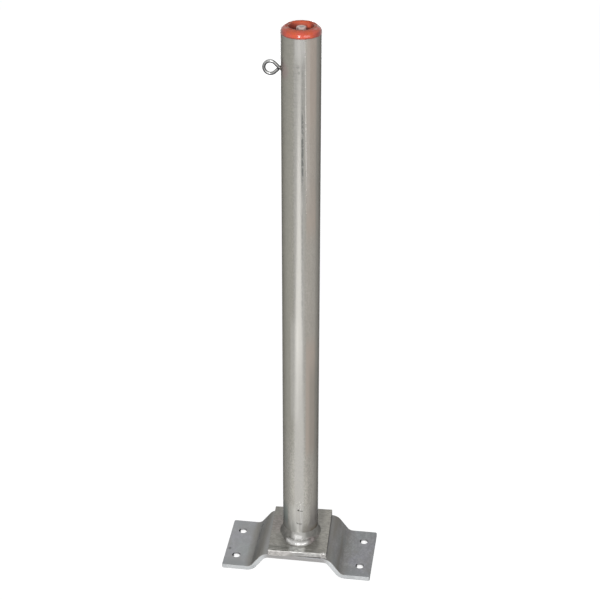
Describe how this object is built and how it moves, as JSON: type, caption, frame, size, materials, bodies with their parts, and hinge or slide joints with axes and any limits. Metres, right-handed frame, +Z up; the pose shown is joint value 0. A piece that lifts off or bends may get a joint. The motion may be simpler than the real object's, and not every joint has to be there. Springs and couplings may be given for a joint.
{
  "type": "removable barrier post",
  "caption": "Round steel barrier post on a foot plate, held on a raised bolt-down bracket by a central key-turned spindle, with an orange cap and a chain eye.",
  "frame": {"origin": "the tube's axis at ground level, midway between the four anchor holes", "axes": "+Z up along the tube, X along the bracket, -Y to the front"},
  "size_m": [0.255, 0.1292, 0.9633],
  "materials": {
    "bracket_zinc": "hot-dip galvanised, cool grey",
    "plate_zinc": "hot-dip galvanised, warm grey, brushed near its edges",
    "tube_zinc": "hot-dip galvanised, satin warm grey",
    "weld_zinc": "galvanised weld metal, smooth",
    "fastener_zinc": "zinc plated",
    "wire_zinc": "zinc plated wire",
    "spindle_steel": "bright turned steel",
    "spring_steel": "blackened spring steel",
    "cap_plastic": "glossy red-orange moulded plastic"
  },
  "bodies": {
    "base": {"base_bracket": "bracket_zinc", "base_nut": "fastener_zinc", "nut_weld": "weld_zinc"},
    "post": {"foot_plate": "plate_zinc", "post_tube": "tube_zinc", "foot_weld": "weld_zinc", "bearing_disc": "plate_zinc", "disc_weld": "weld_zinc", "top_cap": "cap_plastic", "chain_eye": "wire_zinc", "eye_weld": "weld_zinc"},
    "washer": {"thrust_washer": "fastener_zinc"},
    "spindle": {"spindle": "spindle_steel", "collar": "spindle_steel", "retaining_ring": "spring_steel", "stop_pin": "spring_steel"}
  },
  "joints": [
    {"name": "post_lift", "type": "slide", "parent": "base", "child": "post", "axis": [0, 0, 1], "range_m": [0, 0.1]},
    {"name": "spindle_rise", "type": "slide", "parent": "post", "child": "washer", "axis": [0, 0, 1], "range_m": [0, 0.014]},
    {"name": "spindle_turn", "type": "hinge", "parent": "washer", "child": "spindle", "pos_m": [0, 0, 0.9235], "axis": [0, 0, 1], "range_deg": [0, 2880]}
  ],
  "couplings": [
    {"joint": "spindle_turn", "follows": "spindle_rise", "rad_per_m": 3590.4}
  ]
}
